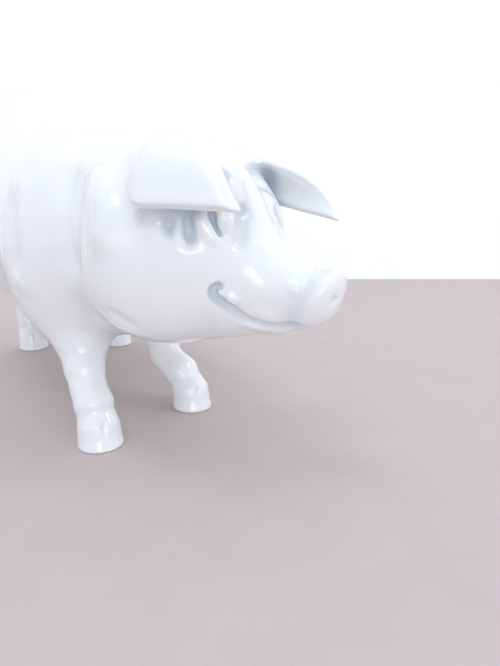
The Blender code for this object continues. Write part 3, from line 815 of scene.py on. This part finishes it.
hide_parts("head")

# %% The ears
for label, side in (("right_ear", -1), ("left_ear", 1)):
    point, normal = ear_plane(side)
    centre = from_head((29.0, 18.0 * side, 82.0))
    ear_shape = as_bmesh(*meshed(skin, centre - (25.0, 25.0, 17.0), centre + (25.0, 25.0, 17.0), 0.4))
    keep_side(ear_shape, point, -normal)
    keep_island(ear_shape, from_head((34.0, 24.0 * side, 76.0)))
    ear_piece = piece(label + "_flap", ear_shape, skin, "porcelain", "porcelain")
    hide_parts(label)

# %% The legs
for label, (x, y) in STANCES.items():
    leg_shape = as_bmesh(*meshed(skin, (x - 34.0, y - 20.0, -2.0), (x + 15.0, y + 20.0, 33.0), 0.45))
    keep_side(leg_shape, LEG_POINT, -LEG_NORMAL)
    keep_island(leg_shape, (x, y, 0.0))
    leg_piece = piece(label + "_casting", leg_shape, skin, "porcelain", "porcelain", under_sole)
    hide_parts(label)

# %% The tail
tail_shape = as_bmesh(*meshed(tail_clay, TAIL_ROOT - (18.0, 13.0, 9.0),
                              TAIL_ROOT + (8.0, 13.0, 18.0), 0.3))
keep_side(tail_shape, TAIL_ROOT, -TAIL_OUT)
keep_island(tail_shape, TAIL_ROOT + 6.0 * TAIL_OUT)
tail_piece = piece("tail_curl", tail_shape, tail_clay, "porcelain", "porcelain")
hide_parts("tail")

# %% The stopper
bung_shape = as_bmesh(*meshed(stopper_rubber, (STOPPER_X - 18.0, -18.0, 29.0),
                              (STOPPER_X + 18.0, 18.0, 43.0), 0.4))
bung_piece = piece("belly_bung", bung_shape, stopper_rubber, "stopper", "stopper_rubber")
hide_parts("belly_stopper")


# %% [markdown]
# ## Node helpers
# Colours are given as sRGB hex, as picked in any paint program, and one function turns them to the
# linear values a shader needs. One small function adds a node, sets its values and makes its links, and
# four more add the nodes that come up again and again.

# %% Colour and nodes
def linear(code):
    """sRGB hex to linear: below 0.04045 divide by 12.92, else ((c + 0.055) / 1.055) to the power 2.4."""
    channels = [int(code[i:i + 2], 16) / 255.0 for i in (1, 3, 5)]
    return tuple(c / 12.92 if c <= 0.04045 else ((c + 0.055) / 1.055) ** 2.4 for c in channels) + (1.0,)


def node(tree, kind, links=None, **settings):
    """Add a node: settings are its own properties, links map its inputs to sockets or constants."""
    made = tree.nodes.new(kind)
    for key, value in settings.items():
        setattr(made, key, value)
    for key, value in (links or {}).items():
        if isinstance(value, bpy.types.NodeSocket):
            tree.links.new(value, made.inputs[key])
        else:
            made.inputs[key].default_value = value
    return made


def noise(tree, place, scale, detail, roughness=0.5):
    """Smooth noise of that scale, one value for each place."""
    links = {"Vector": place, "Scale": scale, "Detail": detail, "Roughness": roughness}
    return node(tree, "ShaderNodeTexNoise", links).outputs["Fac"]


def blend(tree, factor, first, second):
    """Two colours mixed by a factor."""
    links = {"Factor": factor, 6: first, 7: second}
    return node(tree, "ShaderNodeMix", links, data_type="RGBA").outputs[2]


def remapped(tree, value, low, high, to_low=0.0, to_high=1.0, kind="LINEAR"):
    """A value's range from low to high, turned into another range and held inside it."""
    links = {"Value": value, "From Min": low, "From Max": high, "To Min": to_low, "To Max": to_high}
    return node(tree, "ShaderNodeMapRange", links, interpolation_type=kind).outputs[0]


def bump(tree, height, strength, distance, under=None):
    """Fine relief from a height value, laid over another relief if one is given; distance in metres."""
    links = {"Height": height, "Strength": strength, "Distance": distance}
    if under is not None:
        links["Normal"] = under
    return node(tree, "ShaderNodeBump", links).outputs[0]


def new_material(name):
    """The tree of a new, empty node material, and the material."""
    material = bpy.data.materials.new(name)
    material.use_nodes = True
    material.node_tree.nodes.clear()
    return material.node_tree, material


# %% [markdown]
# ## Glazed porcelain
# Porcelain is a white clay fired until it is glassy, dipped in a clear glaze and fired again. To the eye
# it is a soft white body under a hard gloss coat: wide soft shading with sharp window reflections on
# top. The coat waves slightly over a few millimetres, and stops just above the soles, where the rough
# bisque shows. Creases are painted bluish grey: partly glaze that gathers there, partly painted shade.

# %% Porcelain material
def glazed_porcelain():
    """White body, clear coat; pooled glaze and painted shade tint creases; bare clay is rough, uncoated.
    """
    tree, material = new_material("porcelain, slip-cast and clear-glazed")
    place = node(tree, "ShaderNodeTexCoord").outputs["Object"]
    crease_depth = node(tree, "ShaderNodeAttribute", attribute_name="crease_depth").outputs["Fac"]
    bare = node(tree, "ShaderNodeAttribute", attribute_name="bare").outputs["Fac"]
    white = blend(tree, noise(tree, place, 45.0, 3.0), linear("#FAFBFB"), linear("#F5F8FA"))
    # Bluish grey in creases: partly pooled glaze, partly painted shade where the crease lies deep.
    glaze_pool_and_shade = remapped(tree, crease_depth, 0.06, 0.75, to_high=0.85, kind="SMOOTHSTEP")
    white_with_crease_shade = blend(tree, glaze_pool_and_shade, white, linear("#BECBD8"))
    grit = noise(tree, place, 2600.0, 3.0)
    edge = node(tree, "ShaderNodeMath", {0: grit, 1: 0.5}, operation="SUBTRACT").outputs[0]
    ragged = node(tree, "ShaderNodeMath", {0: edge, 1: 0.6, 2: bare}, operation="MULTIPLY_ADD").outputs[0]
    dry = remapped(tree, ragged, 0.35, 0.65)
    bisque = blend(tree, grit, linear("#F1ECE3"), linear("#DCD4C7"))
    colour = blend(tree, dry, white_with_crease_shade, bisque)
    coat = node(tree, "ShaderNodeMath", {0: 1.0, 1: dry}, operation="SUBTRACT").outputs[0]
    body_gloss = remapped(tree, noise(tree, place, 160.0, 4.0, 0.6), 0.3, 0.7, 0.34, 0.42)
    rough = node(tree, "ShaderNodeMix", {"Factor": dry, 2: body_gloss, 3: 0.82}).outputs[0]
    soft = bump(tree, noise(tree, place, 95.0, 1.0), 0.5, 0.00009)
    fine = bump(tree, noise(tree, place, 520.0, 1.0), 0.5, 0.000012, soft)
    sand = node(tree, "ShaderNodeMath", {0: grit, 1: dry}, operation="MULTIPLY").outputs[0]
    gritty = bump(tree, sand, 0.6, 0.00006, fine)
    shader = node(tree, "ShaderNodeBsdfPrincipled", {
        "Base Color": colour, "Roughness": rough, "IOR": 1.5,
        "Subsurface Weight": 0.12, "Subsurface Radius": (1.0, 0.95, 0.9), "Subsurface Scale": 0.0015,
        "Coat Weight": coat, "Coat Roughness": 0.06, "Coat IOR": 1.5,
        "Coat Normal": fine, "Normal": gritty})
    node(tree, "ShaderNodeOutputMaterial", {"Surface": shader.outputs[0]})
    return material


# %% [markdown]
# ## Moulded rubber
# The stopper is pressed from soft vinyl rubber in a steel mould. It is translucent grey-white and dull,
# with the fine stipple of the mould, slightly yellowed, and darker and yellower deep in its grips.

# %% Rubber material
def soft_rubber():
    """Dull grey-white rubber: mould stipple as bump, darker where the crease_depth attribute is high."""
    tree, material = new_material("soft vinyl rubber, moulded")
    place = node(tree, "ShaderNodeTexCoord").outputs["Object"]
    crease_depth = node(tree, "ShaderNodeAttribute", attribute_name="crease_depth").outputs["Fac"]
    cloud = noise(tree, place, 110.0, 4.0)
    plain_rubber = blend(tree, cloud, linear("#D9D7CF"), linear("#CBC8BD"))
    # Darker, yellower grey where the crease depth is high, which is deep in the grips.
    darker_in_grips = blend(tree, remapped(tree, crease_depth, 0.2, 1.0, to_high=0.5), plain_rubber, linear("#B3ADA0"))
    dull = remapped(tree, cloud, 0.3, 0.7, 0.46, 0.6)
    mould = bump(tree, noise(tree, place, 1800.0, 2.0), 0.5, 0.00005)
    shader = node(tree, "ShaderNodeBsdfPrincipled", {
        "Base Color": darker_in_grips, "Roughness": dull, "IOR": 1.52,
        "Subsurface Weight": 0.25, "Subsurface Radius": (1.0, 0.9, 0.7), "Subsurface Scale": 0.001,
        "Normal": mould})
    node(tree, "ShaderNodeOutputMaterial", {"Surface": shader.outputs[0]})
    return material


# %% Give every piece its material
glaze = glazed_porcelain()
rubber = soft_rubber()
for thing in bpy.context.scene.objects:
    if thing.type == "MESH" and "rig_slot" in thing and "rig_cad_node" not in thing:
        thing.data.materials.clear()
        thing.data.materials.append(glaze if thing["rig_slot"] == "porcelain" else rubber)
        print(thing.name, "gets", thing.data.materials[0].name)

# %% [markdown]
# ## Table, wall, light and camera
# The pig stands on a plain warm-grey table before a plain white wall. A window to the camera's right, a
# ceiling lamp and a long window behind the camera give the white reflections, and a bright even sky
# fills every shadow. The table and the wall are see-through from their backs, so that they hide nothing
# from a camera that walks round or looks up.

# %% Stage
def paper_material(name, low_code, high_code, glow):
    """Matt paper: two close tones mixed by noise; it may glow a little, and its back is see-through."""
    tree, material = new_material(name)
    place = node(tree, "ShaderNodeTexCoord").outputs["Object"]
    colour = blend(tree, noise(tree, place, 60.0, 6.0), linear(low_code), linear(high_code))
    shader = node(tree, "ShaderNodeBsdfPrincipled", {
        "Base Color": colour, "Roughness": 0.85, "Specular IOR Level": 0.2,
        "Emission Color": linear(high_code), "Emission Strength": glow})
    back = node(tree, "ShaderNodeNewGeometry").outputs["Backfacing"]
    clear = node(tree, "ShaderNodeBsdfTransparent")
    mixed = node(tree, "ShaderNodeMixShader", {0: back, 1: shader.outputs[0], 2: clear.outputs[0]})
    node(tree, "ShaderNodeOutputMaterial", {"Surface": mixed.outputs[0]})
    return material


def plain_sheet(name, corners, material):
    """A flat sheet through four corners, its normal by the right-hand rule round them."""
    mesh = bpy.data.meshes.new(name)
    mesh.from_pydata([tuple(np.array(corner) * MM) for corner in corners], [], [(0, 1, 2, 3)])
    mesh.materials.append(material)
    thing = bpy.data.objects.new(name, mesh)
    bpy.context.scene.collection.objects.link(thing)
    return thing


# Where the camera stands and looks, level; it is then tipped down by the pitch. Millimetres.
CAMERA_PLACE = np.array([215.8, -54.2, 77.0]) + SHIFT
LOOK = np.array([-0.859, 0.512, 0.0])
ACROSS = np.array([0.512, 0.859, 0.0])
PITCH = math.radians(15.1)
WALL_DISTANCE, WALL_HALF, WALL_HEIGHT = 483.0, 2500.0, 2200.0
TABLE_HALF = 2000.0
table_corners = [(x * TABLE_HALF, y * TABLE_HALF, 0.0) for x, y in ((-1, -1), (1, -1), (1, 1), (-1, 1))]
table = plain_sheet("table", table_corners,
                    paper_material("table, warm grey paper", "#CFC4C2", "#C7BCBA", 0.0))
foot = CAMERA_PLACE * (1, 1, 0) + WALL_DISTANCE * LOOK
left_foot, right_foot = foot - WALL_HALF * ACROSS, foot + WALL_HALF * ACROSS
wall_corners = [left_foot, right_foot, right_foot + (0, 0, WALL_HEIGHT), left_foot + (0, 0, WALL_HEIGHT)]
wall = plain_sheet("wall", wall_corners,
                   paper_material("wall, white paper", "#FCFCFB", "#F6F6F5", 0.2))
print("wall normal", tuple(round(c, 2) for c in wall.data.polygons[0].normal))


# %% Lights
def window(name, place, target, width, height, power, colour):
    """A rectangular area light at a place, facing a target; sizes in metres, power in watts."""
    lamp = bpy.data.lights.new(name, "AREA")
    lamp.shape = "RECTANGLE"
    lamp.size, lamp.size_y = width, height
    lamp.energy = power
    lamp.color = linear(colour)[:3]
    thing = bpy.data.objects.new(name, lamp)
    thing.location = Vector(place)
    thing.rotation_euler = (Vector(target) - Vector(place)).to_track_quat("-Z", "Y").to_euler()
    bpy.context.scene.collection.objects.link(thing)
    return thing


PIG_MIDDLE = np.array([0.03, 0.0, 0.06])
WINDOW_WAY, WINDOW_DISTANCE = np.array([0.49, 0.67, 0.56]), 1.4
FRONT_WAY, FRONT_DISTANCE = np.array([0.93, -0.28, 0.16]), 1.5
window_place = PIG_MIDDLE + WINDOW_DISTANCE * WINDOW_WAY
window("window", window_place, PIG_MIDDLE, 0.28, 0.34, 2.2, "#F2F8FF")
window("ceiling", (0.05, -0.34, 1.5), PIG_MIDDLE, 0.45, 0.45, 2.4, "#FFFFFF")
front_place = PIG_MIDDLE + FRONT_DISTANCE * FRONT_WAY
window("front", front_place, PIG_MIDDLE, 0.85, 0.34, 3.1, "#FBFCFF")
world = bpy.data.worlds.new("bright room")
world.use_nodes = True
world.node_tree.nodes["Background"].inputs["Color"].default_value = linear("#EAF2FB")
world.node_tree.nodes["Background"].inputs["Strength"].default_value = 0.95
bpy.context.scene.world = world

# %% Camera
bpy.context.scene.view_settings.view_transform = "Standard"
lens = bpy.data.cameras.new("camera")
lens.sensor_fit = "HORIZONTAL"
lens.sensor_width = 36.0
lens.lens = 36.72
lens.clip_start = 0.01
lens.clip_end = 10.0
camera = bpy.data.objects.new("camera", lens)
forward = Vector(LOOK * math.cos(PITCH)) - Vector((0, 0, math.sin(PITCH)))
upward = Vector(LOOK * math.sin(PITCH)) + Vector((0, 0, math.cos(PITCH)))
right = forward.cross(upward).normalized()
facing = Matrix((right, upward, -forward)).transposed().to_4x4()
camera.matrix_world = Matrix.Translation(Vector(CAMERA_PLACE * MM)) @ facing
bpy.context.scene.collection.objects.link(camera)
bpy.context.scene.camera = camera
print("camera at", [round(c, 3) for c in camera.location])

# %% [markdown]
# ## Finish
# The sculpted pig must fill the same box as the imported frame; at the end the view layer is updated.

# %% Finish
bpy.context.view_layer.update()
